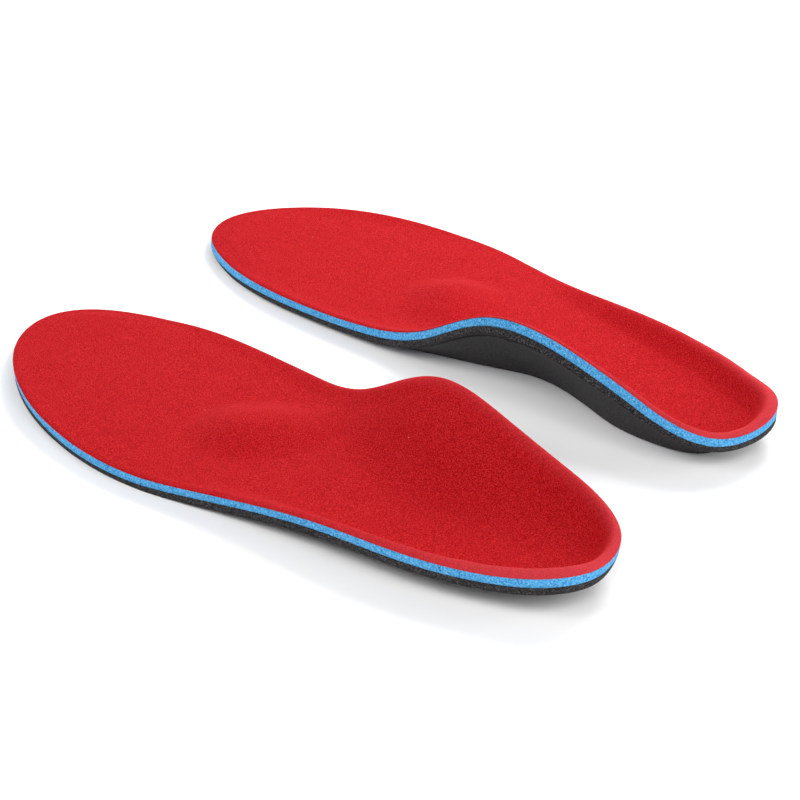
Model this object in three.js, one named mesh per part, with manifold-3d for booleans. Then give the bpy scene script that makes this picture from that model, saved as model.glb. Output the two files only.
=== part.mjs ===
// A pair of cushioned insoles, left and right: flocked cover, metatarsal pad,
// cushion foam, base layer, arch support block and heel pad in each.
// Units are millimetres, +Z is up, +X runs from heel to toes and +Y points to
// the wearer's left. The floor is z = 0 and the origin is under the middle of
// the pair.
import * as THREE from 'three';
import Module from 'manifold-3d';
import { mergeVertices } from 'three/addons/utils/BufferGeometryUtils.js';

// ---------------------------------------------------------------- dimensions
const T_COVER = 0.6;      // flocked fabric
const T_FOAM = 3.15;      // soft cushion foam
const T_BASE = 2.75;      // firm base sheet
const BOND = 0.1;         // glue line between two layers
const STACK = T_COVER + BOND + T_FOAM + BOND + T_BASE;
const RIM_LIFT = 0.3;     // the rim table runs along the middle of the cover's edge

// metatarsal pad: peak, turn of its long axis, reach in the four directions, height
const DOME = { x: 153, y: 2, turn: 43, front: 22, back: 38, inner: 22, outer: 24, h: 5.4 };
const HEEL_PAD = { x: 40, y: 2, a: 20, b: 11.5, h: 3.0 };      // shock pad
const FIT_GAP = 0.3;      // clearance round the inlaid pads
const BLOCK_GAP = 0.15;   // glue line between the base sheet and the block
const LEDGE = 2.4;        // the block is set back from the base sheet's edge

const RIGHT_YAW = -7.72;                 // degrees, right insole turned out
const LEFT_AT = [4.0, 0.0];              // heel tip of the left insole
const RIGHT_AT = [13.65, -102.83];       // heel tip of the right insole

// Closed uniform cubic B-spline of a left insole's rim, heel tip first, then
// along the lateral side, the toes and the medial side:
// x, y, z, lean of the upper wall, lean of the lower wall (degrees, + leans in)
const RIM = [
  [-0.63, -3.53, 13.64, 12.5, 15.7], [-0.85, 12.41, 16.59, -0.8, 5.1],
  [9.51, 25.01, 16.68, 0.0, 1.7], [24.52, 29.93, 14.67, 8.2, 5.4],
  [39.08, 34.53, 14.41, 5.8, 5.6], [54.47, 36.99, 14.11, 5.7, 6.4],
  [69.77, 38.48, 14.09, 6.8, 6.1], [85.23, 39.24, 13.53, 9.3, 5.2],
  [100.62, 40.32, 12.16, 11.0, 3.0], [116.0, 41.77, 10.24, 12.1, 1.3],
  [131.31, 43.75, 8.34, 12.2, 2.3], [146.52, 46.44, 6.91, 10.8, 8.5],
  [161.77, 48.91, 6.04, 8.3, 17.2], [177.25, 49.31, 5.83, 5.5, 22.0],
  [192.6, 47.33, 6.14, 4.0, 21.1], [207.68, 44.02, 6.61, 5.7, 16.5],
  [222.37, 39.11, 7.09, 6.8, 11.1], [236.17, 32.12, 7.44, 5.0, 7.5],
  [248.96, 23.39, 7.37, 2.8, 4.9], [260.18, 12.7, 6.88, 1.1, 5.0],
  [268.81, -0.27, 6.57, -1.5, 5.9], [271.5, -16.16, 6.56, -4.8, 14.4],
  [263.23, -30.37, 6.17, -6.9, 25.6], [249.32, -37.6, 5.65, -6.4, 25.7],
  [234.63, -42.26, 6.06, -3.3, 23.9], [219.37, -45.05, 6.83, 1.1, 21.0],
  [203.94, -45.77, 7.23, 5.1, 20.7], [188.5, -44.96, 7.53, 7.9, 20.7],
  [173.14, -43.45, 7.95, 8.5, 18.5], [157.84, -41.31, 8.85, 6.4, 12.3],
  [142.71, -38.23, 10.37, -2.2, -4.0], [127.46, -35.72, 16.02, -12.9, -22.2],
  [112.01, -35.09, 26.5, -19.5, -31.9], [96.6, -34.08, 34.47, -24.4, -36.5],
  [81.33, -31.83, 35.79, -28.0, -36.4], [66.12, -28.98, 33.14, -29.9, -32.2],
  [50.82, -27.22, 29.06, -29.5, -22.2], [35.37, -25.75, 24.94, -25.9, -8.3],
  [20.08, -25.13, 20.18, -17.2, 9.2], [4.93, -18.79, 15.29, -0.3, 21.7],
];
// how far inside the rim the block meets the floor, at each rim station
const INSET = [14.6, 17.5, 18.5, 17, 16.5, 16.5, 16.5, 15.5, 13, 9.5, 7, 5.5, 5, 5, 5, 5, 5, 5, 5, 5,
  5, 5, 5, 5, 5, 5, 5, 5, 5.5, 6.8, 8.4, 13, 18.0, 24.6, 24, 18.2, 11.5, 11, 13.8, 15.8];

// centre-line height of the foot surface along x
const SPINE_Z = [[-20, 8.4], [60, 8.4], [90, 8.5], [115, 8.2], [135, 7.7], [150, 7.1], [165, 6.78],
  [178, STACK], [212, STACK], [235, 7.0], [255, 7.35], [290, 7.1]];
// rise of the arch flank at the medial edge, where it starts, and that edge's y
const ARCH_H = [[-5, 0], [8, 0.2], [20, 3.2], [35, 9], [50, 15.2], [65, 22.3], [78, 26.2], [88, 26.4],
  [97, 24.6], [106, 20.0], [115, 14.6], [124, 9.4], [137, 4.2], [152, 1.6], [168, 0.9], [185, 0.5], [215, 0]];
const ARCH_FOOT = [[-5, -6], [20, -4], [50, -0.5], [80, 2.5], [110, -2.5], [130, -11.5], [150, -19], [170, -24], [215, -27]];
const ARCH_EDGE = [[-5, -20], [20, -24.5], [50, -27], [65, -29], [80, -31.5], [95, -33.8], [110, -34.9],
  [137, -37.3], [152, -40.1], [168, -42.6], [215, -45.2]];

// turned-up border: its flat width and full width on the foot side and on the
// underside, where the foam backs it with a softer curve
const LIP_FLAT = 2.8, LIP_FULL = 12;
const LOW_FLAT = 4.8, LOW_FULL = 16;

// grid density
const NU = 18, NV = 10;                 // cells along and across the middle
const RINGS = [0, 3.2, 7.5, 12, 16];    // distance of each ring inside the rim
const CORNERS = [-2.4, 2.9, 17.6, 22.9]; // rim stations of the grid's corners
const NT = 2 * (NU + NV);

// ---------------------------------------------------------------- functions
function line(table, x) {               // smooth curve through a table
  const n = table.length;
  if (x <= table[0][0]) return table[0][1];
  if (x >= table[n - 1][0]) return table[n - 1][1];
  let i = 0;
  while (x > table[i + 1][0]) i++;
  const [x0, y0] = table[i], [x1, y1] = table[i + 1];
  const h = x1 - x0, u = (x - x0) / h;
  const slope = (a, b) => (table[b][1] - table[a][1]) / (table[b][0] - table[a][0]);
  const m0 = i > 0 ? slope(i - 1, i + 1) : 0;
  const m1 = i < n - 2 ? slope(i, i + 2) : 0;
  const u2 = u * u, u3 = u2 * u;
  return (2 * u3 - 3 * u2 + 1) * y0 + (u3 - 2 * u2 + u) * h * m0 + (3 * u2 - 2 * u3) * y1 + (u3 - u2) * h * m1;
}
const smooth = (a, b, x) => { const q = Math.min(1, Math.max(0, (x - a) / (b - a))); return q * q * (3 - 2 * q); };
const rad = Math.PI / 180;

function bspline(rows, s) {
  const n = rows.length, i = Math.floor(s), u = s - i;
  const b = [(1 - u) ** 3 / 6, (3 * u ** 3 - 6 * u * u + 4) / 6, (-3 * u ** 3 + 3 * u * u + 3 * u + 1) / 6, u ** 3 / 6];
  return rows[0].map((_, k) => b.reduce((a, w, q) => a + w * rows[(((i - 1 + q) % n) + n) % n][k], 0));
}
function rim(s) {
  const p = bspline(RIM, s), a = bspline(RIM, s - 0.05), b = bspline(RIM, s + 0.05);
  const l = Math.hypot(b[0] - a[0], b[1] - a[1]);
  const n = [-(b[1] - a[1]) / l, (b[0] - a[0]) / l];
  const phi = p[3] * rad, phi2 = p[4] * rad;
  const up = (T_COVER + BOND + T_FOAM) * Math.cos(phi), low = (BOND + T_BASE) * Math.cos(phi2);
  return { x: p[0], y: p[1], z: Math.max(p[2] + RIM_LIFT, up + low), n, phi, phi2 };
}
function footbed(x, y) {                // foot surface without the lip and the dome
  const f = line(ARCH_FOOT, x), e = line(ARCH_EDGE, x);
  const q = Math.max(0, (f - y) / (f - e));
  return line(SPINE_Z, x) + line(ARCH_H, x) * (q < 1 ? 2.19 * q * q - 1.19 * q ** 3 : 1 + 0.81 * (q - 1));
}
const turnCos = Math.cos(DOME.turn * rad), turnSin = Math.sin(DOME.turn * rad);
function dome(x, y) {
  const dx = x - DOME.x, dy = y - DOME.y, u = dx * turnCos + dy * turnSin, v = dy * turnCos - dx * turnSin;
  const q = (u / (u > 0 ? DOME.front : DOME.back)) ** 2 + (v / (v > 0 ? DOME.outer : DOME.inner)) ** 2;
  return q < 1 ? DOME.h * (1 - q) ** 2 : 0;
}

// ---------------------------------------------------------------- grid
const stations = [];
{
  const c = [...CORNERS, CORNERS[0] + RIM.length], cells = [NV, NU, NV, NU];
  for (let k = 0; k < 4; k++) for (let i = 0; i < cells[k]; i++) stations.push(c[k] + (c[k + 1] - c[k]) * i / cells[k]);
}
const rims = stations.map(rim);
const NR = RINGS.length, RIDS = NR * NT;
const plan = [], lip = [], lipLow = []; // plan position and lip heights of each vertex
for (let k = 0; k < NR; k++) for (let i = 0; i < NT; i++) {
  const r = rims[i], d = RINGS[k];
  const x = r.x - r.n[0] * d, y = r.y - r.n[1] * d;
  plan.push([x, y]);
  const rise = r.z - footbed(r.x, r.y);
  lip.push(rise * (1 - smooth(LIP_FLAT, LIP_FULL, d)));
  lipLow.push(rise * (1 - smooth(LOW_FLAT, LOW_FULL, d)));
}
const last = (i) => (NR - 1) * NT + ((i % NT) + NT) % NT;
const G = [];
for (let a = 0; a <= NU; a++) {
  G.push([]);
  for (let b = 0; b <= NV; b++) {
    if (a === 0) G[a].push(last(b));
    else if (a === NU) G[a].push(last(NV + NU + NV - b));
    else if (b === 0) G[a].push(last(NT - a));
    else if (b === NV) G[a].push(last(NV + a));
    else {
      const u = a / NU, v = b / NV;
      const M = plan[last(NT - a)], L = plan[last(NV + a)], H = plan[last(b)], T = plan[last(NV + NU + NV - b)];
      const c00 = plan[last(0)], c01 = plan[last(NV)], c10 = plan[last(NT - NU)], c11 = plan[last(NV + NU)];
      const p = [0, 1].map((k) => (1 - v) * M[k] + v * L[k] + (1 - u) * H[k] + u * T[k]
        - ((1 - u) * (1 - v) * c00[k] + (1 - u) * v * c01[k] + u * (1 - v) * c10[k] + u * v * c11[k]));
      G[a].push(plan.length);
      plan.push(p);
      lip.push(0);
      lipLow.push(0);
    }
  }
}
const tris = [];
const quad = (a, b, c, d) => tris.push([a, b, c], [a, c, d]);
for (let k = 0; k < NR - 1; k++) for (let i = 0; i < NT; i++) {
  const j = (i + 1) % NT;
  quad(k * NT + i, (k + 1) * NT + i, (k + 1) * NT + j, k * NT + j);
}
for (let a = 0; a < NU; a++) for (let b = 0; b < NV; b++) quad(G[a][b], G[a + 1][b], G[a + 1][b + 1], G[a][b + 1]);

// top surface with and without the dome, and how much a vertical drop lengthens there
const bare = plan.map(([x, y], i) => footbed(x, y) + lip[i]);
const domes = plan.map(([x, y]) => dome(x, y));
const sec = (() => {
  const n = plan.map(() => new THREE.Vector3());
  for (const t of tris) {
    const [a, b, c] = t.map((i) => new THREE.Vector3(plan[i][0], plan[i][1], bare[i]));
    const m = b.clone().sub(a).cross(c.clone().sub(a));
    for (const i of t) n[i].add(m);
  }
  return n.map((v) => Math.min(1.3, v.length() / v.z));
})();
const SPLIT = T_COVER + BOND + T_FOAM;  // depth at which the wall changes its lean
function surface(depth, withDome) {
  return plan.map(([x, y], i) => {
    const k = Math.floor(i / NT), top = bare[i] + (lipLow[i] - lip[i]) * depth / STACK + (withDome ? domes[i] : 0);
    if (k >= NR - 1 || i >= RIDS) return [x, y, top - depth * sec[i]];
    const r = rims[i % NT], w = 1 - k / (NR - 1);
    const d1 = Math.min(depth, SPLIT), d2 = Math.max(0, depth - SPLIT);
    const out = -(d1 * Math.sin(r.phi) + d2 * Math.sin(r.phi2)) * w;
    const down = (d1 * Math.cos(r.phi) + d2 * Math.cos(r.phi2)) * w + depth * sec[i] * (1 - w);
    return [x + r.n[0] * out, y + r.n[1] * out, top - down];
  });
}
const grounded = (pts) => pts.map(([x, y, z]) => [x, y, z < 0.2 ? 0 : z]);

function solid(top, bottom) {           // closed body between two such surfaces
  const n = top.length, idx = [];
  for (const [a, b, c] of tris) { idx.push(a, b, c); idx.push(n + a, n + c, n + b); }
  for (let i = 0; i < NT; i++) {
    const j = (i + 1) % NT;
    idx.push(i, j, n + j, i, n + j, n + i);
  }
  return build([...top, ...bottom].flat(), idx);
}
function build(pos, idx) {
  const g = new THREE.BufferGeometry();
  g.setAttribute('position', new THREE.BufferAttribute(new Float32Array(pos), 3));
  g.setIndex(idx);
  return g;
}

// ---------------------------------------------------------------- booleans
const wasm = await Module();
wasm.setup();
function toSolid(geo) {
  const g = geo.clone();
  for (const k of Object.keys(g.attributes)) if (k !== 'position') g.deleteAttribute(k);
  const m = mergeVertices(g, 1e-4);
  return new wasm.Manifold(new wasm.Mesh({ numProp: 3, vertProperties: new Float32Array(m.attributes.position.array), triVerts: new Uint32Array(m.index.array) }));
}
function fromSolid(s) {
  const m = s.getMesh();
  return build(Array.from(m.vertProperties), Array.from(m.triVerts));
}
function oval(x, y, a, b, z0, z1, n = 28) {
  const s = new THREE.Shape();
  for (let i = 0; i < n; i++) {
    const t = 2 * Math.PI * i / n, p = [x + a * Math.cos(t), y + b * Math.sin(t)];
    i ? s.lineTo(...p) : s.moveTo(...p);
  }
  s.closePath();
  const g = new THREE.ExtrudeGeometry(s, { depth: z1 - z0, bevelEnabled: false });
  g.translate(0, 0, z0);
  return g;
}

// ---------------------------------------------------------------- layers
const cover = solid(surface(0, true), surface(T_COVER, true));
const foam = solid(surface(T_COVER + BOND, false), surface(SPLIT, false));
const baseTop = surface(SPLIT + BOND, false), baseLow = grounded(surface(STACK, false));
const hole = (z1) => toSolid(oval(HEEL_PAD.x, HEEL_PAD.y, HEEL_PAD.a + FIT_GAP, HEEL_PAD.b + FIT_GAP, -1, z1));
const base = fromSolid(toSolid(solid(baseTop, baseLow)).subtract(hole(HEEL_PAD.h + FIT_GAP)));
const heelPad = oval(HEEL_PAD.x, HEEL_PAD.y, HEEL_PAD.a, HEEL_PAD.b, 0, HEEL_PAD.h);

function heightAt(pts, x, y) {          // height of a surface above a plan point
  for (const [i, j, k] of tris) {
    const [a, b, c] = [pts[i], pts[j], pts[k]];
    const d = (b[0] - a[0]) * (c[1] - a[1]) - (c[0] - a[0]) * (b[1] - a[1]);
    const u = ((x - a[0]) * (c[1] - a[1]) - (c[0] - a[0]) * (y - a[1])) / d;
    const v = ((b[0] - a[0]) * (y - a[1]) - (x - a[0]) * (b[1] - a[1])) / d;
    if (u >= -1e-9 && v >= -1e-9 && u + v <= 1 + 1e-9) return a[2] + u * (b[2] - a[2]) + v * (c[2] - a[2]);
  }
  throw new Error('no surface there');
}
const coverLow = surface(T_COVER, true), foamTop = surface(T_COVER + BOND, false);

// metatarsal pad: fills the space that the dome makes between cover and foam
function padSolid() {
  const N = 32, M = 6, top = [], low = [], tri = [];
  const at = (k, i) => (k === 0 ? 0 : 1 + (k - 1) * N + (i % N));
  for (let k = 0; k <= M; k++) for (let i = 0; i < (k ? N : 1); i++) {
    const q = 0.74 * k / M, t = -2 * Math.PI * i / N;
    const c = Math.cos(t), d = Math.sin(t);
    const u = q * c * (c > 0 ? DOME.front : DOME.back), v = q * d * (d > 0 ? DOME.outer : DOME.inner);
    const x = DOME.x + u * turnCos - v * turnSin, y = DOME.y + u * turnSin + v * turnCos;
    const under = heightAt(foamTop, x, y) + 0.25;
    low.push([x, y, under]);
    top.push([x, y, Math.max(under + 0.12, heightAt(coverLow, x, y) - 0.44)]);
  }
  const n = top.length;
  for (let i = 0; i < N; i++) {
    tri.push(0, at(1, i + 1), at(1, i), n, n + at(1, i), n + at(1, i + 1));
    for (let k = 1; k < M; k++) {
      const a = at(k, i), b = at(k + 1, i), c = at(k + 1, i + 1), d = at(k, i + 1);
      tri.push(a, c, b, a, d, c, n + a, n + b, n + c, n + a, n + c, n + d);
    }
    const a = at(M, i), b = at(M, i + 1);
    tri.push(a, b, n + b, a, n + b, n + a);
  }
  return build([...top, ...low].flat(), tri);
}

// arch support: the space under the base sheet, inside a wall that slopes in
// to the floor, back from the skived front edge
function blockSolid() {
  const low = [], mid = [], ext = [];
  const s0 = -10.6, s1 = 11.6, n = 52;  // rim stations of its front corners
  for (let i = 0; i <= n; i++) {
    const s = s1 + (s0 - s1) * i / n, r = rim(s), inset = bspline(INSET.map((v) => [v]), s)[0];
    const up = SPLIT, lo = BOND + T_BASE;
    const out = -(up * Math.sin(r.phi) + lo * Math.sin(r.phi2)) - LEDGE;
    const z = Math.max(0.3, r.z - up * Math.cos(r.phi) - lo * Math.cos(r.phi2));
    const b = [r.x - r.n[0] * inset, r.y - r.n[1] * inset];
    const m = [r.x + r.n[0] * out, r.y + r.n[1] * out];
    low.push([b[0], b[1], 0]);
    mid.push([m[0], m[1], z]);
    ext.push([m[0] + 0.4 * (m[0] - b[0]), m[1] + 0.4 * (m[1] - b[1]), z * 1.4 + 3]);
  }
  const A = low[n], B = low[0];
  for (let i = 1; i < 6; i++) {         // front edge, bowed towards the toes
    const q = i / 6, x = A[0] + (B[0] - A[0]) * q + 5 * Math.sin(Math.PI * q), y = A[1] + (B[1] - A[1]) * q;
    low.push([x, y, 0]); mid.push([x - 0.3, y, 1]); ext.push([x - 1.5, y, 6]);
  }
  const m = low.length, pos = [...low, ...mid, ...ext, [75, 0, 60]].flat(), idx = [];
  for (let i = 0; i < m; i++) {
    const j = (i + 1) % m;
    for (const k of [0, 1]) idx.push(k * m + i, k * m + j, (k + 1) * m + j, k * m + i, (k + 1) * m + j, (k + 1) * m + i);
    idx.push(2 * m + i, 2 * m + j, 3 * m);
  }
  const cap = THREE.ShapeUtils.triangulateShape(low.map((p) => new THREE.Vector2(p[0], p[1])), []);
  for (const [a, b, c] of cap) idx.push(a, c, b);
  const area = low.reduce((s, p, i) => { const q = low[(i + 1) % m]; return s + p[0] * q[1] - q[0] * p[1]; }, 0);
  if (area < 0) for (let i = 0; i < idx.length; i += 3) [idx[i + 1], idx[i + 2]] = [idx[i + 2], idx[i + 1]];
  const under = baseLow.map(([x, y, z]) => [x, y, z - BLOCK_GAP]);
  const fill = solid(under, under.map(([x, y]) => [x, y, -5]));
  const block = toSolid(build(pos, idx)).intersect(toSolid(fill)).subtract(hole(8));
  return fromSolid(block.decompose().reduce((a, b) => (a.volume() > b.volume() ? a : b)));  // drop skived crumbs
}

// ---------------------------------------------------------------- assembly
const parts = {
  top_cover: [cover, { color: 0xc0202a, roughness: 0.95, metalness: 0 }],
  metatarsal_pad: [padSolid(), { color: 0xd8d4c8, roughness: 0.9, metalness: 0 }],
  cushion_foam: [foam, { color: 0x5aa3d2, roughness: 0.9, metalness: 0 }],
  base_layer: [base, { color: 0x242426, roughness: 0.85, metalness: 0 }],
  arch_support: [blockSolid(), { color: 0x2c2c2e, roughness: 0.7, metalness: 0 }],
  heel_pad: [heelPad, { color: 0x4a4f57, roughness: 0.8, metalness: 0 }],
};
function mirrored(geo) {
  const g = geo.clone(), p = g.attributes.position;
  for (let i = 0; i < p.count; i++) p.setY(i, -p.getY(i));
  if (!g.index) g.setIndex([...Array(p.count).keys()]);
  const a = g.index.array;
  for (let i = 0; i < a.length; i += 3) [a[i + 1], a[i + 2]] = [a[i + 2], a[i + 1]];
  return g;
}
function insole(side) {
  const group = new THREE.Group();
  for (const [name, [geo, look]] of Object.entries(parts)) {
    const g = side === 'right' ? mirrored(geo) : geo.clone();
    g.deleteAttribute('normal');
    g.deleteAttribute('uv');
    const mesh = new THREE.Mesh(g, new THREE.MeshStandardMaterial(look));
    mesh.name = `${side}_${name}`;
    group.add(mesh);
  }
  return group;
}
const pair = new THREE.Group();
const left = insole('left'), right = insole('right');
left.position.set(LEFT_AT[0], LEFT_AT[1], 0);
right.position.set(RIGHT_AT[0], RIGHT_AT[1], 0);
right.rotation.z = RIGHT_YAW * rad;
pair.add(left, right);

// origin: under the middle of the pair's box
pair.updateMatrixWorld(true);
const box = new THREE.Box3().setFromObject(pair, true);
pair.position.set(-(box.min.x + box.max.x) / 2, -(box.min.y + box.max.y) / 2, 0);

export default pair;
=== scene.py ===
import math
import bpy
import numpy as np
from mathutils import Matrix, Vector


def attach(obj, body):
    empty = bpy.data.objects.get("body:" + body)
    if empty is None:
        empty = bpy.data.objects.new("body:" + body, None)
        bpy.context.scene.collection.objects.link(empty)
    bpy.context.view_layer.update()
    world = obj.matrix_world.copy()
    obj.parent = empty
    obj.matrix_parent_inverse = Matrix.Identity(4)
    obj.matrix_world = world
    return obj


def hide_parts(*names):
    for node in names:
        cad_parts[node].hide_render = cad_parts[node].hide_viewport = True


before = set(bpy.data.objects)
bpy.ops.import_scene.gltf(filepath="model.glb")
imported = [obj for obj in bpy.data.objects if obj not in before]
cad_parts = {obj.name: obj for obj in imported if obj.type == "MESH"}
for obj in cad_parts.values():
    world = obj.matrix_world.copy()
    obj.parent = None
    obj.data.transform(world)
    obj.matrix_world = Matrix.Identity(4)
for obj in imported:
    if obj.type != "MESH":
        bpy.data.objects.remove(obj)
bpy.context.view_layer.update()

scene = bpy.context.scene

# ------------------------------------------------------------------ dimensions (mm)
T_COVER, T_FOAM, T_BASE, BOND = 0.6, 3.15, 2.75, 0.1
SPLIT = T_COVER + BOND + T_FOAM
STACK = SPLIT + BOND + T_BASE
RIM_LIFT = 0.3
DOME = dict(x=153.0, y=2.0, turn=math.radians(43), front=22.0, back=38.0, inner=22.0, outer=24.0, h=5.4)
HEEL_PAD = dict(x=40.0, y=2.0, a=20.0, b=11.5, h=3.0)
LEFT_AT = (-139.451, 63.217)
RIGHT_AT = (-129.801, -39.613)
RIGHT_YAW = math.radians(-7.72)
NS = 40
RIM = np.array([
  [-0.63, -3.53, 13.64, 12.5, 15.7], [-0.85, 12.41, 16.59, -0.8, 5.1],
  [9.51, 25.01, 16.68, 0.0, 1.7], [24.52, 29.93, 14.67, 8.2, 5.4],
  [39.08, 34.53, 14.41, 5.8, 5.6], [54.47, 36.99, 14.11, 5.7, 6.4],
  [69.77, 38.48, 14.09, 6.8, 6.1], [85.23, 39.24, 13.53, 9.3, 5.2],
  [100.62, 40.32, 12.16, 11.0, 3.0], [116.0, 41.77, 10.24, 12.1, 1.3],
  [131.31, 43.75, 8.34, 12.2, 2.3], [146.52, 46.44, 6.91, 10.8, 8.5],
  [161.77, 48.91, 6.04, 8.3, 17.2], [177.25, 49.31, 5.83, 5.5, 22.0],
  [192.6, 47.33, 6.14, 4.0, 21.1], [207.68, 44.02, 6.61, 5.7, 16.5],
  [222.37, 39.11, 7.09, 6.8, 11.1], [236.17, 32.12, 7.44, 5.0, 7.5],
  [248.96, 23.39, 7.37, 2.8, 4.9], [260.18, 12.7, 6.88, 1.1, 5.0],
  [268.81, -0.27, 6.57, -1.5, 5.9], [271.5, -16.16, 6.56, -4.8, 14.4],
  [263.23, -30.37, 6.17, -6.9, 25.6], [249.32, -37.6, 5.65, -6.4, 25.7],
  [234.63, -42.26, 6.06, -3.3, 23.9], [219.37, -45.05, 6.83, 1.1, 21.0],
  [203.94, -45.77, 7.23, 5.1, 20.7], [188.5, -44.96, 7.53, 7.9, 20.7],
  [173.14, -43.45, 7.95, 8.5, 18.5], [157.84, -41.31, 8.85, 6.4, 12.3],
  [142.71, -38.23, 10.37, -2.2, -4.0], [127.46, -35.72, 16.02, -12.9, -22.2],
  [112.01, -35.09, 26.5, -19.5, -31.9], [96.6, -34.08, 34.47, -24.4, -36.5],
  [81.33, -31.83, 35.79, -28.0, -36.4], [66.12, -28.98, 33.14, -29.9, -32.2],
  [50.82, -27.22, 29.06, -29.5, -22.2], [35.37, -25.75, 24.94, -25.9, -8.3],
  [20.08, -25.13, 20.18, -17.2, 9.2], [4.93, -18.79, 15.29, -0.3, 21.7]])
INSET = np.array([14.6, 17.5, 18.5, 17, 16.5, 16.5, 16.5, 15.5, 13, 9.5, 7, 5.5, 5, 5, 5, 5, 5, 5, 5, 5,
  5, 5, 5, 5, 5, 5, 5, 5, 5.5, 6.8, 8.4, 13, 18.0, 24.6, 24, 18.2, 11.5, 11, 13.8, 15.8])
SPINE_Z = [[-20, 8.4], [60, 8.4], [90, 8.5], [115, 8.2], [135, 7.7], [150, 7.1], [165, 6.78],
  [178, STACK], [212, STACK], [235, 7.0], [255, 7.35], [290, 7.1]]
ARCH_H = [[-5, 0], [8, 0.2], [20, 3.2], [35, 9], [50, 15.2], [65, 22.3], [78, 26.2], [88, 26.4],
  [97, 24.6], [106, 20.0], [115, 14.6], [124, 9.4], [137, 4.2], [152, 1.6], [168, 0.9], [185, 0.5], [215, 0]]
ARCH_FOOT = [[-5, -6], [20, -4], [50, -0.5], [80, 2.5], [110, -2.5], [130, -11.5], [150, -19], [170, -24], [215, -27]]
ARCH_EDGE = [[-5, -20], [20, -24.5], [50, -27], [65, -29], [80, -31.5], [95, -33.8], [110, -34.9],
  [137, -37.3], [152, -40.1], [168, -42.6], [215, -45.2]]

# turned-up border by rim station: flat width, full width, and how far the pile there is pressed and lit (a lighter
# pink that is partly pressed pile, partly painted highlight where light catches the rounded bead)
def stations_table(rows, s):
    """Periodic smooth table over rim stations 0..40."""
    rows = [(r[0], r[1]) for r in rows]
    ext = [(a - NS, v) for a, v in rows] + rows + [(a + NS, v) for a, v in rows]
    return line(ext, np.mod(s, NS))
LIP_FLAT = [(0, 2.2), (1, 2.8), (2, 3.0), (3, 2.8), (5, 2.2), (8, 1.4), (12, 1.0), (20, 0.8), (27, 0.8), (31, 1.0), (35, 1.0), (37, 1.1), (38.5, 1.4)]
LIP_FULL = [(0, 9.5), (1, 10.5), (3, 11.0), (6, 11.0), (9, 10.5), (13, 9.5), (20, 8.0), (27, 8.0), (31, 8.5), (34, 8.5), (37, 8.5), (38.5, 8.8)]
LOW_FLAT = [(0, 4.8), (3, 4.8), (6, 3.6), (9, 2.2), (13, 1.4), (20, 1.0), (27, 1.0), (31, 1.6), (34, 2.2), (37, 3.6)]
LOW_FULL = [(0, 16), (3, 16), (6, 15.5), (9, 14.5), (13, 13.0), (20, 11.0), (27, 11.0), (31, 13.0), (34, 13.0), (37, 15.5)]
# lighter pink on the border by station: partly pressed pile, partly painted highlight on the rounded bead
LIP_PRESS_HIGHLIGHT = [(0, 1.0), (2, 1.0), (3.5, 0.8), (5, 0.5), (7, 0.25), (9, 0.1), (12, 0.0), (25, 0.0), (29, 0.08), (32, 0.3), (35, 0.4), (37.5, 0.6), (38.7, 0.9)]
LIP_CROWN = [(0, 0.8), (1, 1.2), (2, 1.3), (3, 1.2), (5, 0.8), (8, 0.4), (12, 0.2), (20, 0.15), (27, 0.15), (31, 0.3), (35, 0.4), (37, 0.4), (38.5, 0.6)]

# ------------------------------------------------------------------ functions
def line(table, x):
    t = np.asarray(table, float)
    xs, ys = t[:, 0], t[:, 1]
    x = np.clip(np.asarray(x, float), xs[0], xs[-1])
    i = np.clip(np.searchsorted(xs, x, side="left") - 1, 0, len(xs) - 2)
    m = np.zeros(len(xs))
    m[1:-1] = (ys[2:] - ys[:-2]) / (xs[2:] - xs[:-2])
    h = xs[i + 1] - xs[i]
    u = (x - xs[i]) / h
    u2, u3 = u * u, u ** 3
    return (2*u3 - 3*u2 + 1) * ys[i] + (u3 - 2*u2 + u) * h * m[i] + (3*u2 - 2*u3) * ys[i+1] + (u3 - u2) * h * m[i+1]

def smooth(a, b, x):
    q = np.clip((x - a) / (b - a), 0, 1)
    return q * q * (3 - 2 * q)

def bspline(rows, s):
    s = np.asarray(s, float)
    i = np.floor(s).astype(int); u = (s - i)[:, None] if rows.ndim > 1 else (s - i)
    w = [(1-u)**3/6, (3*u**3 - 6*u*u + 4)/6, (-3*u**3 + 3*u*u + 3*u + 1)/6, u**3/6]
    return sum(w[q] * rows[(i - 1 + q) % len(rows)] for q in range(4))

def rim(s):
    p, a, b = bspline(RIM, s), bspline(RIM, s - 0.05), bspline(RIM, s + 0.05)
    t = b[:, :2] - a[:, :2]; t /= np.linalg.norm(t, axis=1)[:, None]
    n = np.c_[-t[:, 1], t[:, 0]]
    phi, phi2 = np.radians(p[:, 3]), np.radians(p[:, 4])
    z = np.maximum(p[:, 2] + RIM_LIFT, SPLIT * np.cos(phi) + (BOND + T_BASE) * np.cos(phi2))
    return p[:, 0], p[:, 1], z, n, phi, phi2

def footbed(x, y):
    f, e = line(ARCH_FOOT, x), line(ARCH_EDGE, x)
    q = np.maximum(0, (f - y) / (f - e))
    return line(SPINE_Z, x) + line(ARCH_H, x) * np.where(q < 1, 2.19*q*q - 1.19*q**3, 1 + 0.81*(q - 1))

def dome(x, y):
    c, s = math.cos(DOME["turn"]), math.sin(DOME["turn"])
    dx, dy = x - DOME["x"], y - DOME["y"]
    u, v = dx*c + dy*s, dy*c - dx*s
    q = (u / np.where(u > 0, DOME["front"], DOME["back"]))**2 + (v / np.where(v > 0, DOME["outer"], DOME["inner"]))**2
    return np.where(q < 1, DOME["h"] * (1 - np.minimum(q, 1))**2, 0)

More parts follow.
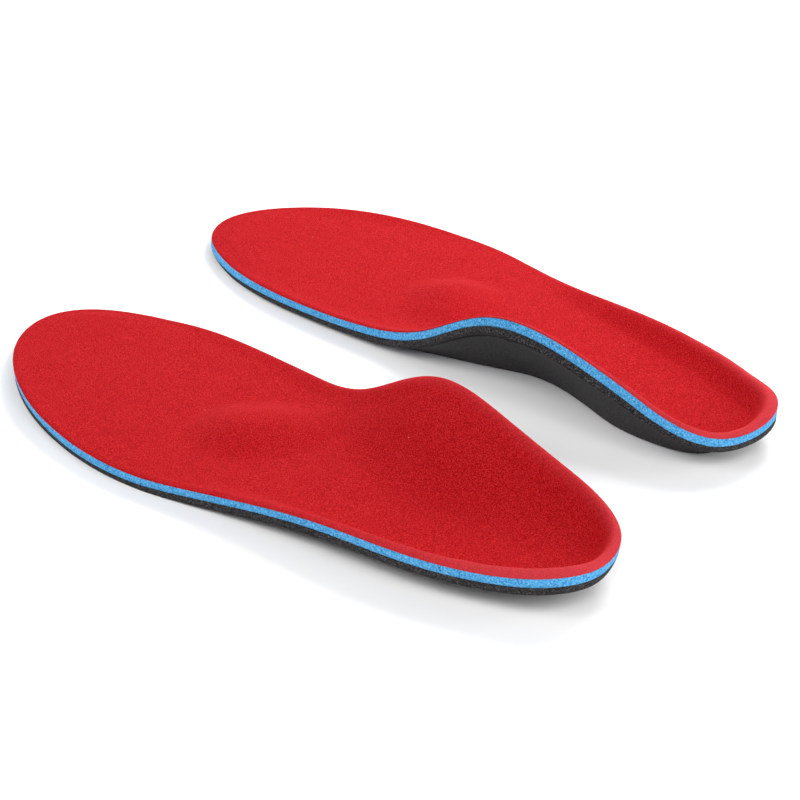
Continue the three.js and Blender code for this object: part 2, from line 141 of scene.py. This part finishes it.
def wave(x, y, seed, size, n=9):
    """Smooth seeded undulation of roughly unit height with features of about `size` mm."""
    rng = np.random.default_rng(seed)
    v = np.zeros(np.broadcast(x, y).shape)
    for _ in range(n):
        a, k, p = rng.uniform(0, 2*np.pi), 2*np.pi / (size * rng.uniform(0.7, 1.6)), rng.uniform(0, 2*np.pi)
        v = v + np.sin(k * (x*np.cos(a) + y*np.sin(a)) + p)
    return v / math.sqrt(n)

# ------------------------------------------------------------------ grids
CORNERS = np.array([-2.4, 2.9, 17.6, 22.9, 37.6])

class Grid:
    """Rings that follow the rim, with a four-sided patch inside them. After ring `fine`
    the count round the ring is halved, so edges are fine and hidden middles are coarse."""
    def __init__(self, nu, nv, rings, fine=None):
        cells = [nv, nu, nv, nu]
        s = np.concatenate([CORNERS[k] + (CORNERS[k+1] - CORNERS[k]) * np.arange(cells[k]) / cells[k] for k in range(4)])
        self.nt = len(s)
        x, y, z, n, phi, phi2 = rim(s)
        fine = len(rings) if fine is None else fine
        XY, D, S, faces, self.start = [], [], [], [], []
        count = 0
        prev = None
        for k, d in enumerate(rings):
            sel = np.arange(self.nt) if k < fine else np.arange(0, self.nt, 2)
            XY.append(np.c_[x, y][sel] - n[sel] * d)
            D.append(np.full(len(sel), float(d))); S.append(s[sel])
            ids = count + np.arange(len(sel)); count += len(sel)
            if prev is not None:
                m = len(ids)
                if len(prev) == m:
                    j = (np.arange(m) + 1) % m
                    faces += np.c_[prev, ids, ids[j], prev[j]].tolist()
                else:
                    for i in range(m):
                        a, b, c = prev[2*i], prev[2*i+1], prev[(2*i+2) % len(prev)]
                        p, q = ids[i], ids[(i+1) % m]
                        faces += [[a, p, b], [p, q, b], [b, q, c]]
            prev = ids
        half = 2 if fine < len(rings) else 1
        nu, nv = nu // half, nv // half
        m = len(prev); last = lambda i: prev[i % m]
        P = np.concatenate(XY)
        u, v = np.meshgrid(np.arange(nu+1)/nu, np.arange(nv+1)/nv, indexing="ij")
        iu, iv = np.arange(nu+1), np.arange(nv+1)
        M = P[[last(m - a) for a in iu]]; L = P[[last(nv + a) for a in iu]]
        H = P[[last(b) for b in iv]]; T = P[[last(nv + nu + nv - b) for b in iv]]
        u3, v3 = u[..., None], v[..., None]
        C = ((1-v3)*M[:, None] + v3*L[:, None] + (1-u3)*H[None] + u3*T[None]
             - ((1-u3)*(1-v3)*H[0] + (1-u3)*v3*H[-1] + u3*(1-v3)*T[0] + u3*v3*T[-1]))
        G = np.zeros((nu+1, nv+1), int)
        G[1:-1, 1:-1] = count + np.arange((nu-1)*(nv-1)).reshape(nu-1, nv-1)
        G[0] = [last(b) for b in iv]; G[-1] = [last(nv + nu + nv - b) for b in iv]
        G[:, 0] = [last(m - a) for a in iu]; G[:, -1] = [last(nv + a) for a in iu]
        faces += np.stack([G[:-1, :-1], G[1:, :-1], G[1:, 1:], G[:-1, 1:]], -1).reshape(-1, 4).tolist()
        XY.append(C[1:-1, 1:-1].reshape(-1, 2)); D.append(np.full((nu-1)*(nv-1), 99.0)); S.append(np.zeros((nu-1)*(nv-1)))
        self.xy, self.d, self.s = np.concatenate(XY), np.concatenate(D), np.concatenate(S)
        self.faces = faces
        self.width = rings[-1]
        self.on_ring = self.d < 98
        r = rim(self.s)
        self.rn, self.phi, self.phi2 = r[3], r[4], r[5]
        lip = (r[2] - footbed(r[0], r[1])) * (1 - smooth(stations_table(LIP_FLAT, self.s), stations_table(LIP_FULL, self.s), self.d))
        flat = stations_table(LIP_FLAT, self.s) + 1.0
        crown = stations_table(LIP_CROWN, self.s) * np.sin(np.pi * np.clip(self.d / (2.1 * flat), 0, 1)) ** 1.0
        crown = crown * (1 - smooth(flat, 2.1 * flat, self.d))
        low = (r[2] - footbed(r[0], r[1])) * (1 - smooth(stations_table(LOW_FLAT, self.s), stations_table(LOW_FULL, self.s), self.d))
        self.lip = np.where(self.on_ring, lip + crown, 0)
        self.low_shift = np.where(self.on_ring, low - self.lip, 0)
        X, Y = self.xy.T
        self.bare = footbed(X, Y) + self.lip
        self.dome = dome(X, Y)
        nz = self.normals(np.c_[self.xy, self.bare])[:, 2]
        self.sec = np.minimum(1.3, 1 / nz)
        self.w = np.where(self.on_ring, np.clip(1 - self.d / self.width, 0, 1), 0)

    def normals(self, P):
        n = np.zeros_like(P)
        quads = np.array([f if len(f) == 4 else f + [f[2]] for f in self.faces])
        a, b, c, d = (P[quads[:, k]] for k in range(4))
        m = np.cross(c - a, d - b)
        for k in range(4):
            np.add.at(n, quads[:, k], m)
        return n / np.linalg.norm(n, axis=1)[:, None]

    def surface(self, depth, with_dome):
        top = self.bare + self.low_shift * depth / STACK + (self.dome if with_dome else 0)
        d1, d2 = min(depth, SPLIT), max(0.0, depth - SPLIT)
        out = -(d1*np.sin(self.phi) + d2*np.sin(self.phi2)) * self.w
        down = (d1*np.cos(self.phi) + d2*np.cos(self.phi2)) * self.w + depth * self.sec * (1 - self.w)
        return np.c_[self.xy + self.rn * out[:, None], top - down]

def place(P, side):
    P = np.asarray(P, float).copy()
    if side == "left":
        P[:, 0] += LEFT_AT[0]; P[:, 1] += LEFT_AT[1]
    else:
        c, s = math.cos(RIGHT_YAW), math.sin(RIGHT_YAW)
        x, y = P[:, 0], -P[:, 1]
        P = np.c_[c*x - s*y + RIGHT_AT[0], s*x + c*y + RIGHT_AT[1], P[:, 2]]
    return P / 1000.0

def make(name, side, P, faces, mat, attrs=None):
    if side == "right":
        faces = [list(reversed(f)) for f in faces]
    me = bpy.data.meshes.new(f"{side}_{name}_mesh")
    me.from_pydata(place(P, side).tolist(), [], faces)
    me.update()
    for key, val in (attrs or {}).items():
        a = me.attributes.new(key, "FLOAT", "POINT")
        a.data.foreach_set("value", np.asarray(val, np.float32))
    me.polygons.foreach_set("use_smooth", [True] * len(me.polygons))
    ob = bpy.data.objects.new(f"{side}_{name}_look", me)
    scene.collection.objects.link(ob)
    me.materials.append(mat)
    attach(ob, f"{side}_insole")
    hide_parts(f"{side}_{name}")
    return ob

def layer(grid, top, bottom, wall):
    """Closed body: top and bottom surfaces joined by wall rows (list of (nt,3) arrays, top to bottom)."""
    nt, n = grid.nt, len(top)
    V = [top] + list(wall) + [bottom]
    P = np.concatenate(V)
    faces = [list(f) for f in grid.faces]
    ids = [np.arange(nt)] + [n + k*nt + np.arange(nt) for k in range(len(wall))]
    off = n + len(wall)*nt
    ids.append(off + np.arange(nt))
    j = (np.arange(nt) + 1) % nt
    for a, b in zip(ids[:-1], ids[1:]):
        faces += np.c_[a, a[j], b[j], b].tolist()
    faces += [[off + v for v in reversed(f)] for f in grid.faces]
    return P, faces

# ------------------------------------------------------------------ materials
def nodes_of(name):
    m = bpy.data.materials.new(name)
    m.use_nodes = True
    t = m.node_tree
    t.nodes.clear()
    out = t.nodes.new("ShaderNodeOutputMaterial")
    b = t.nodes.new("ShaderNodeBsdfPrincipled")
    t.links.new(b.outputs[0], out.inputs[0])
    return m, t, b

def noise(t, vec, scale, detail=2.0, rough=0.5, lac=2.0):
    n = t.nodes.new("ShaderNodeTexNoise")
    n.inputs["Scale"].default_value = scale
    n.inputs["Detail"].default_value = detail
    n.inputs["Roughness"].default_value = rough
    n.inputs["Lacunarity"].default_value = lac
    t.links.new(vec, n.inputs["Vector"])
    return n.outputs["Fac"]

def ramp(t, fac, stops):
    r = t.nodes.new("ShaderNodeValToRGB")
    e = r.color_ramp.elements
    while len(e) < len(stops):
        e.new(0.5)
    for k, (p, c) in enumerate(stops):
        e[k].position = p
        e[k].color = (c, c, c, 1) if isinstance(c, (int, float)) else (*c, 1)
    t.links.new(fac, r.inputs["Fac"])
    return r.outputs["Color"]

def mix(t, fac, a, b, mode="MIX"):
    n = t.nodes.new("ShaderNodeMix")
    n.data_type = "RGBA"
    n.blend_type = mode
    for sock, v in ((n.inputs[0], fac), (n.inputs[6], a), (n.inputs[7], b)):
        if isinstance(v, (int, float)):
            sock.default_value = v
        elif isinstance(v, tuple):
            sock.default_value = (*v, 1)
        else:
            t.links.new(v, sock)
    return n.outputs[2]

def math_node(t, op, a, b=None, clamp=False):
    n = t.nodes.new("ShaderNodeMath")
    n.operation = op
    n.use_clamp = clamp
    for k, v in enumerate((a, b)):
        if v is None:
            continue
        if isinstance(v, (int, float)):
            n.inputs[k].default_value = v
        else:
            t.links.new(v, n.inputs[k])
    return n.outputs[0]

def bump(t, height, strength, distance, normal=None):
    n = t.nodes.new("ShaderNodeBump")
    n.inputs["Strength"].default_value = strength
    n.inputs["Distance"].default_value = distance
    t.links.new(height, n.inputs["Height"])
    if normal is not None:
        t.links.new(normal, n.inputs["Normal"])
    return n.outputs["Normal"]

def attribute(t, name):
    n = t.nodes.new("ShaderNodeAttribute")
    n.attribute_name = name
    return n.outputs["Fac"]

def object_vec(t):
    return t.nodes.new("ShaderNodeTexCoord").outputs["Object"]

def srgb(r, g, b):
    return tuple(((c/255)/12.92 if c/255 <= 0.04045 else ((c/255 + 0.055)/1.055)**2.4) for c in (r, g, b))

def specks(t, vec, scale, radius, share):
    """Sparse round dots: 1 inside a dot, 0 elsewhere; only `share` of the cells hold one."""
    v = t.nodes.new("ShaderNodeTexVoronoi")
    v.inputs["Scale"].default_value = scale
    t.links.new(vec, v.inputs["Vector"])
    sep = t.nodes.new("ShaderNodeSeparateColor")
    t.links.new(v.outputs["Color"], sep.inputs[0])
    dot = ramp(t, v.outputs["Distance"], [(radius * 0.5, 1.0), (radius, 0.0)])
    pick = math_node(t, "LESS_THAN", sep.outputs[0], share)
    return math_node(t, "MULTIPLY", dot, pick)

def velvet():
    m, t, b = nodes_of("cover_velvet")
    o = object_vec(t)
    grain = noise(t, o, 2200, 2.0, 0.70)
    fine = noise(t, o, 3600, 1.0, 0.5)
    cloud = noise(t, o, 60, 3.0, 0.55)
    c = ramp(t, grain, [(0.39, (0.240, 0.0009, 0.0025)), (0.50, (0.380, 0.0024, 0.0048)), (0.62, (0.520, 0.0155, 0.0195))])
    c = mix(t, ramp(t, fine, [(0.49, 0.0), (0.70, 0.42)]), c, (0.63, 0.049, 0.056))
    c = mix(t, ramp(t, cloud, [(0.35, 0.0), (0.70, 0.16)]), c, (0.34, 0.003, 0.006))
    # border mask mixes in a lighter pink: partly pressed pile, partly painted highlight where light catches the
    # rounded bead
    lip = attribute(t, "press_and_highlight")
    c = mix(t, math_node(t, "MULTIPLY", lip, 0.36), c, (0.66, 0.080, 0.098))
    c = mix(t, math_node(t, "MULTIPLY", specks(t, o, 150, 0.045, 0.08), 0.30), c, (0.85, 0.55, 0.55))
    t.links.new(c, b.inputs["Base Color"])
    b.inputs["Roughness"].default_value = 0.95
    b.inputs["Specular IOR Level"].default_value = 0.04
    b.inputs["Sheen Weight"].default_value = 0.15
    b.inputs["Sheen Roughness"].default_value = 0.40
    b.inputs["Sheen Tint"].default_value = (1.0, 0.06, 0.08, 1)
    h = math_node(t, "ADD", grain, math_node(t, "MULTIPLY", fine, 0.6))
    t.links.new(bump(t, h, 0.55, 0.0003), b.inputs["Normal"])
    return m

def foam(name, dark, mid, light, pore, pore_amount, glint=None):
    m, t, b = nodes_of(name)
    o = object_vec(t)
    grain = noise(t, o, 1700, 2.0, 0.65)
    v = t.nodes.new("ShaderNodeTexVoronoi")
    v.inputs["Scale"].default_value = 1150
    t.links.new(o, v.inputs["Vector"])
    cells = v.outputs["Distance"]
    spots = noise(t, o, 620, 1.0, 0.5)
    c = ramp(t, grain, [(0.32, dark), (0.50, mid), (0.70, light)])
    holes = math_node(t, "MULTIPLY", ramp(t, cells, [(0.10, 1.0), (0.42, 0.0)]), ramp(t, spots, [(0.50, 0.0), (0.62, pore_amount)]))
    c = mix(t, holes, c, pore)
    big = specks(t, o, 330, 0.12, 0.16)
    c = mix(t, math_node(t, "MULTIPLY", big, pore_amount), c, pore)
    if glint:
        c = mix(t, math_node(t, "MULTIPLY", specks(t, o, 520, 0.14, 0.20), 0.6), c, glint)
    t.links.new(c, b.inputs["Base Color"])
    b.inputs["Roughness"].default_value = 0.88
    b.inputs["Specular IOR Level"].default_value = 0.20
    h = math_node(t, "SUBTRACT", grain, math_node(t, "MULTIPLY", math_node(t, "MAXIMUM", holes, big), 0.9))
    t.links.new(bump(t, h, 0.7, 0.0004), b.inputs["Normal"])
    return m

M_COVER = velvet()
M_FOAM = foam("cushion_foam_blue", srgb(40, 120, 182), srgb(74, 157, 212), srgb(124, 194, 236), srgb(16, 62, 108), 0.9)
M_BASE = foam("base_foam_black", srgb(15, 14, 15), srgb(38, 36, 37), srgb(90, 86, 87), srgb(8, 8, 9), 0.6, srgb(140, 136, 136))
M_BLOCK = foam("support_foam_black", srgb(44, 42, 43), srgb(56, 54, 55), srgb(74, 71, 72), srgb(24, 23, 24), 0.35)
M_HEEL = foam("heel_pad_foam", srgb(62, 66, 74), srgb(74, 79, 88), srgb(92, 98, 108), srgb(30, 32, 36), 0.5)
M_PAD = foam("inner_pad_foam", srgb(196, 190, 176), srgb(210, 204, 190), srgb(226, 222, 210), srgb(150, 144, 130), 0.4)

# ------------------------------------------------------------------ pieces
COVER_RINGS = [0, 0.3, 0.7, 1.2, 1.8, 2.5, 3.3, 4.1, 4.9, 5.7, 6.5, 7.3, 8.1, 8.9, 9.7, 10.5, 11.3, 12.2, 13.1, 14.0, 15.0, 16.0]
EDGE_RINGS = [0, 0.35, 0.9, 1.6, 2.5, 3.5, 4.5, 5.5, 6.5, 7.5, 8.5, 9.5, 10.5, 12, 14, 16]
g_cover = Grid(210, 84, COVER_RINGS)
g_edge = Grid(210, 84, EDGE_RINGS, fine=4)

def cover_piece(side):
    g = g_cover
    X, Y = g.xy.T
    seed = 11 if side == "left" else 12
    top, low = g.surface(0.0, True), g.surface(T_COVER, True)
    # softly rounded border and the slight unevenness of hot-pressed fabric
    edge = np.where(g.on_ring, np.clip(1 - g.d / 1.2, 0, 1), 0)
    top[:, 2] -= 0.22 * edge**2
    soft = 0.05 * wave(X, Y, seed, 22) + 0.03 * wave(X, Y, seed + 50, 7)
    top[:, 2] += soft * (1 - edge); low[:, 2] += soft * (1 - edge)
    # rounded edge of the cut fabric
    nt = g.nt
    a, b, n = top[:nt], low[:nt], g.rn[:nt]
    rows = []
    for q in (0.25, 0.5, 0.75):
        r = a * (1 - q) + b * q
        r[:, :2] += n * (0.16 * math.sin(math.pi * q))
        rows.append(r)
    P, faces = layer(g, top, low, rows)
    # mask for the lighter pink border: partly pressed pile, partly painted highlight on the rounded bead
    press_and_highlight = stations_table(LIP_PRESS_HIGHLIGHT, g.s) * (1 - smooth(stations_table(LIP_FLAT, g.s) * 0.9, stations_table(LIP_FLAT, g.s) + 3.5, g.d)) * g.on_ring
    attr = np.concatenate([press_and_highlight, *(press_and_highlight[:nt] for _ in rows), press_and_highlight])
    return make("top_cover", side, P, faces, M_COVER, {"press_and_highlight": attr})

def sheet_piece(name, side, d0, d1, mat, seed, rough, ground):
    g = g_edge
    top, low = g.surface(d0, False), g.surface(d1, False)
    top[:, 2] -= 0.15 * np.where(g.on_ring, smooth(0.8, 3.0, g.d), 1)     # glue line, wider away from the cut edge
    if ground:
        low[:, 2] = np.maximum(low[:, 2], 0)
    nt = g.nt
    a, b, n = top[:nt], low[:nt], g.rn[:nt]
    rng = np.random.default_rng(seed)
    rows = []
    K = 6
    for k in range(1, K):
        q = k / K
        r = a * (1 - q) + b * q
        jit = rng.normal(0, rough, nt)
        jit = jit * 0.6 + 0.2 * (np.roll(jit, 1) + np.roll(jit, -1))
        r[:, :2] += n * (0.10 * math.sin(math.pi * q) + jit)[:, None]
        rows.append(r)
    P, faces = layer(g, top, low, rows)
    return make(name, side, P, faces, mat)

covers = {s: cover_piece(s) for s in ("left", "right")}
foams = {s: sheet_piece("cushion_foam", s, T_COVER + BOND, SPLIT, M_FOAM, 21 + (s == "right"), 0.05, False) for s in ("left", "right")}
bases = {s: sheet_piece("base_layer", s, SPLIT + BOND, STACK, M_BASE, 31 + (s == "right"), 0.05, True) for s in ("left", "right")}

# ------------------------------------------------------------------ hidden and underside pieces
from mathutils.bvhtree import BVHTree
from mathutils.geometry import delaunay_2d_cdt

def tree_of(P, faces):
    return BVHTree.FromPolygons([tuple(v) for v in P], [tuple(f) for f in faces])

_low = g_edge.surface(STACK, False)
_low[:, 2] = np.maximum(_low[:, 2], 0)
T_BASE_LOW = tree_of(_low, g_edge.faces)
T_FOAM_TOP = tree_of(g_edge.surface(T_COVER + BOND, False), g_edge.faces)
T_COVER_LOW = tree_of(g_cover.surface(T_COVER, True), g_cover.faces)

def height(tree, x, y, default=0.0):
    hit = tree.ray_cast(Vector((x, y, 100)), Vector((0, 0, -1)))
    return hit[0].z if hit[0] is not None else default

def pad_piece(side):
    """Lens between the cover and the cushion foam."""
    N, M = 72, 14
    top, low, faces = [], [], []
    for k in range(M + 1):
        for i in range(N if k else 1):
            q, a = 0.84 * k / M, -2 * math.pi * i / N
            c, d = math.cos(a), math.sin(a)
            u, v = q * c * (DOME["front"] if c > 0 else DOME["back"]), q * d * (DOME["outer"] if d > 0 else DOME["inner"])
            tc, ts = math.cos(DOME["turn"]), math.sin(DOME["turn"])
            x, y = DOME["x"] + u*tc - v*ts, DOME["y"] + u*ts + v*tc
            f = height(T_FOAM_TOP, x, y) + 0.06
            low.append((x, y, f))
            top.append((x, y, max(f + 0.08, height(T_COVER_LOW, x, y) - 0.12)))
    at = lambda k, i: 0 if k == 0 else 1 + (k-1)*N + i % N
    n = len(top)
    for i in range(N):
        faces += [[0, at(1, i+1), at(1, i)], [n, n + at(1, i), n + at(1, i+1)]]
        for k in range(1, M):
            a, b, c, d = at(k, i), at(k+1, i), at(k+1, i+1), at(k, i+1)
            faces += [[a, d, c, b], [n+a, n+b, n+c, n+d]]
        a, b = at(M, i), at(M, i+1)
        faces.append([a, b, n+b, n+a])
    return make("metatarsal_pad", side, np.array(top + low), faces, M_PAD)

def oval_loop(a, b, n):
    t = 2 * np.pi * np.arange(n) / n
    return np.c_[HEEL_PAD["x"] + a*np.cos(t), HEEL_PAD["y"] + b*np.sin(t)]

def heel_piece(side):
    """Shock pad: rounded oval plug, its face ribbed by shallow rings."""
    N = 96
    A, B, H = HEEL_PAD["a"], HEEL_PAD["b"], HEEL_PAD["h"]
    prof = [(0.0, 0.10)]
    for k in range(1, 40):
        q = k / 40
        prof.append((q * 0.94, 0.10 + 0.16 * (0.5 - 0.5*math.cos(2*math.pi*q*5)) if q < 0.97 else 0.10))
    prof += [(0.955, 0.06), (0.975, 0.14), (0.99, 0.35), (1.0, 0.8), (1.0, H - 0.5), (0.985, H - 0.12), (0.96, H), (0.5, H), (0.0, H)]
    P, faces, ids = [], [], []
    for r, z in prof:
        if r == 0:
            ids.append([len(P)] * N); P.append((HEEL_PAD["x"], HEEL_PAD["y"], z))
        else:
            ids.append(list(range(len(P), len(P) + N)))
            P += [(x, y, z) for x, y in oval_loop(A*r, B*r, N)]
    for a, b in zip(ids[:-1], ids[1:]):
        for i in range(N):
            j = (i + 1) % N
            f = [a[i], a[j], b[j], b[i]]
            f = [v for k, v in enumerate(f) if v not in f[:k]]
            faces.append(list(reversed(f)))
    return make("heel_pad", side, np.array(P), faces, M_HEEL)

LEDGE = 2.4
def block_piece(side):
    """Support block: flat sole, wall rising outwards to the ledge under the base sheet."""
    s = np.linspace(11.6, -10.6, 330)
    x, y, z, n, phi, phi2 = rim(s)
    inset = bspline(INSET, np.mod(s, NS))
    out = -(SPLIT*np.sin(phi) + (BOND + T_BASE)*np.sin(phi2)) - LEDGE
    zk = np.maximum(0.3, z - SPLIT*np.cos(phi) - (BOND + T_BASE)*np.cos(phi2))
    B = np.c_[x, y] - n * inset[:, None]
    T = np.c_[x, y] + n * out[:, None]
    a, b = B[-1], B[0]
    q = np.linspace(0, 1, 62)[1:-1]
    F = a + (b - a) * q[:, None]; F[:, 0] += 5 * np.sin(np.pi * q)
    a2, b2 = T[-1], T[0]
    F2 = a2 + (b2 - a2) * q[:, None]; F2[:, 0] += 5 * np.sin(np.pi * q)
    m = len(B) + len(F)
    bot, top = np.vstack([B, F]), np.vstack([T, F2])
    ztop = np.array([height(T_BASE_LOW, px, py, 0.6) for px, py in top]) - 0.12
    ztop = np.maximum(ztop, 0.12)
    inward = bot.mean(0) - bot
    tang = np.roll(bot, -1, 0) - np.roll(bot, 1, 0); tang /= np.linalg.norm(tang, axis=1)[:, None] + 1e-9
    nin = np.c_[tang[:, 1], -tang[:, 0]]
    nin *= np.sign((nin * inward).sum(1))[:, None]
    rows, r0 = [], 1.1
    for v in (0.0, 0.12, 0.3, 0.55, 0.8, 1.0):           # rounded lower edge
        f = np.minimum(1, ztop / 3.0)
        zz = r0 * (1 - math.cos(v * math.pi/2)) * f
        p = bot + (top - bot) * (zz / np.maximum(ztop, 1e-6))[:, None] + nin * (r0 * (1 - math.sin(v * math.pi/2)) * f)[:, None]
        rows.append(np.c_[p, zz])
    K = 16
    z1 = rows[-1][:, 2]
    for k in range(1, K + 1):
        u = k / K
        zz = z1 + (ztop - z1) * u
        g = zz / np.maximum(ztop, 1e-6)
        g = g - 0.10 * np.sin(np.pi * g) * np.minimum(1, ztop / 10)   # slightly hollow wall
        rows.append(np.c_[bot + (top - bot) * g[:, None], zz])
    P = [tuple(v) for r in rows for v in r]
    faces = []
    for k in range(len(rows) - 1):
        for i in range(m):
            j = (i + 1) % m
            faces.append([k*m + i, k*m + j, (k+1)*m + j, (k+1)*m + i])
    # sole and hidden top, each a flat plan triangulation with the heel pad's hole
    NH = 96
    hole = oval_loop(HEEL_PAD["a"] + 0.3, HEEL_PAD["b"] + 0.3, NH)
    def sheet(loop_ids, hole_z, z_of, flip, step):
        start = len(P)
        outer = [Vector(P[i][:2]) for i in loop_ids]
        hv = [Vector(h) for h in hole]
        X0, Y0 = np.min(outer, 0), np.max(outer, 0)
        inner = [Vector((gx, gy)) for gx in np.arange(X0[0], Y0[0], step) for gy in np.arange(X0[1], Y0[1], step)] if step else []
        pts = outer + hv + inner
        no = len(outer)
        edges = [(i, (i+1) % no) for i in range(no)] + [(no + i, no + (i+1) % NH) for i in range(NH)]
        vo, _, fo, ov, _, _ = delaunay_2d_cdt(pts, edges, [], 0, 1e-5)
        poly = np.array([tuple(v) for v in outer])
        def inside(c, L):
            x, y = c; k = False
            a, b = L, np.roll(L, -1, 0)
            hit = ((a[:, 1] > y) != (b[:, 1] > y)) & (x < (b[:, 0]-a[:, 0])*(y-a[:, 1])/(b[:, 1]-a[:, 1]+1e-12) + a[:, 0])
            return hit.sum() % 2 == 1
        ids = {}
        def vid(i):
            if i not in ids:
                src = [k for k in ov[i] if k < no]
                if src:
                    ids[i] = loop_ids[src[0]]
                else:
                    ids[i] = len(P); P.append((vo[i].x, vo[i].y, z_of(vo[i].x, vo[i].y)))
            return ids[i]
        hole_ids = {}
        out_faces = []
        for f in fo:
            c = sum((vo[i] for i in f), Vector((0, 0))) / len(f)
            if inside(c, poly) and not inside(c, hole):
                g = [vid(i) for i in f]
                out_faces.append(g)
        for i in range(len(vo)):
            for k in ov[i]:
                if no <= k < no + NH and i in ids:
                    hole_ids[k - no] = ids[i]
        # orient
        for g in out_faces:
            pa, pb, pc = (np.array(P[v]) for v in g[:3])
            up_ = np.cross((pb-pa)[:2], (pc-pa)[:2]) > 0
            if up_ != flip:
                faces.append(g)
            else:
                faces.append(list(reversed(g)))
        return [hole_ids[k] for k in range(NH)]
    h0 = sheet(list(range(m)), 0, lambda x, y: 0.0, True, 0)
    kt = (len(rows) - 1) * m
    h1 = sheet(list(range(kt, kt + m)), 0, lambda x, y: max(0.1, height(T_BASE_LOW, x, y, 0.6) - 0.12), False, 4.0)
    for i in range(NH):
        j = (i + 1) % NH
        faces.append([h0[i], h1[i], h1[j], h0[j]])
    ob = make("arch_support", side, np.array(P), faces, M_BLOCK)
    import bmesh
    bm = bmesh.new(); bm.from_mesh(ob.data)
    bmesh.ops.recalc_face_normals(bm, faces=bm.faces)
    bm.to_mesh(ob.data); bm.free()
    ob.data.polygons.foreach_set("use_smooth", [abs(p.normal.z) < 0.98 for p in ob.data.polygons])
    return ob

pads = {s: pad_piece(s) for s in ("left", "right")}
heels = {s: heel_piece(s) for s in ("left", "right")}
blocks = {s: block_piece(s) for s in ("left", "right")}

# ------------------------------------------------------------------ stage, light, camera
SHIFT = Vector((-143.4506, 63.2173, 0)) / 1000
def floor_piece():
    me = bpy.data.meshes.new("floor_mesh")
    r = 3.0
    me.from_pydata([(-r, -r, 0), (r, -r, 0), (r, r, 0), (-r, r, 0)], [], [[0, 1, 2, 3]])
    ob = bpy.data.objects.new("floor", me)
    scene.collection.objects.link(ob)
    m, t, b = nodes_of("floor_white")
    b.inputs["Base Color"].default_value = (0.96, 0.96, 0.96, 1)
    b.inputs["Roughness"].default_value = 1.0
    b.inputs["Specular IOR Level"].default_value = 0.0
    me.materials.append(m)
    return ob
floor_piece()

AZ, EL, ROLL, DIST, FPX, TGT = math.radians(39.0157), math.radians(29.0359), 0.014316, 0.83837, 2358.2, (0.12334, -0.0432, 0.012)
back = Vector((-math.sin(AZ)*math.cos(EL), math.cos(AZ)*math.cos(EL), math.sin(EL)))
right = (-back).cross(Vector((0, 0, 1))).normalized()
up = right.cross(-back)
cr, sr = math.cos(ROLL), math.sin(ROLL)
r2, u2 = right*cr + up*sr, right*(-sr) + up*cr
pos = Vector(TGT) + back*DIST + SHIFT
cam_data = bpy.data.cameras.new("camera")
cam_data.lens = FPX / 800 * 36
cam_data.sensor_width = 36
cam_data.clip_start, cam_data.clip_end = 0.01, 20
cam = bpy.data.objects.new("camera", cam_data)
cam.matrix_world = Matrix(((r2.x, u2.x, back.x, pos.x), (r2.y, u2.y, back.y, pos.y), (r2.z, u2.z, back.z, pos.z), (0, 0, 0, 1)))
scene.collection.objects.link(cam)
scene.camera = cam

world = bpy.data.worlds.new("studio")
scene.world = world
world.use_nodes = True
world.node_tree.nodes["Background"].inputs[0].default_value = (1, 1, 1, 1)
world.node_tree.nodes["Background"].inputs[1].default_value = 0.08

def area(name, loc, target, size, power):
    d = bpy.data.lights.new(name, "AREA")
    d.shape = "DISK"
    d.size = size
    d.energy = power
    ob = bpy.data.objects.new(name, d)
    ob.location = loc
    ob.rotation_euler = (Vector(target) - Vector(loc)).to_track_quat("-Z", "Y").to_euler()
    scene.collection.objects.link(ob)
    return ob
# direction towards the camera in plan is (-sin AZ, cos AZ); screen right is `right`
def from_view(side, away, height):
    """A point given as metres to the view's right, away from the viewer, and up."""
    h = Vector((math.sin(AZ), -math.cos(AZ), 0))
    return right * side + h * away + Vector((0, 0, height))
def soft(name, turn, rise, power, size=0.6, away=1.3):
    """A round diffuser. turn is counted from the view's right towards the back, rise above the floor, in degrees."""
    a, e = math.radians(turn), math.radians(rise)
    area(name, from_view(math.cos(a)*math.cos(e)*away, math.sin(a)*math.cos(e)*away, math.sin(e)*away), (0, 0, 0), size, power)
soft("back_left_low", 135, 18, 5.34)
soft("back_low", 90, 18, 6.07)
soft("back_right_low", 45, 18, 3.68)
soft("right_low", 0, 18, 5.24)
soft("left_low", 180, 18, 3.86)
soft("front_left_high", 210, 45, 4.42)
soft("front_high", 260, 45, 5.15)
soft("front_right_high", 300, 45, 4.05)
soft("front_right_low", 315, 18, 3.86)
area("near_back_right", from_view(0.25, 0.35, 0.45), (0, 0, 0), 0.35, 2.6)

scene.view_settings.view_transform = "Standard"
scene.view_settings.look = "None"
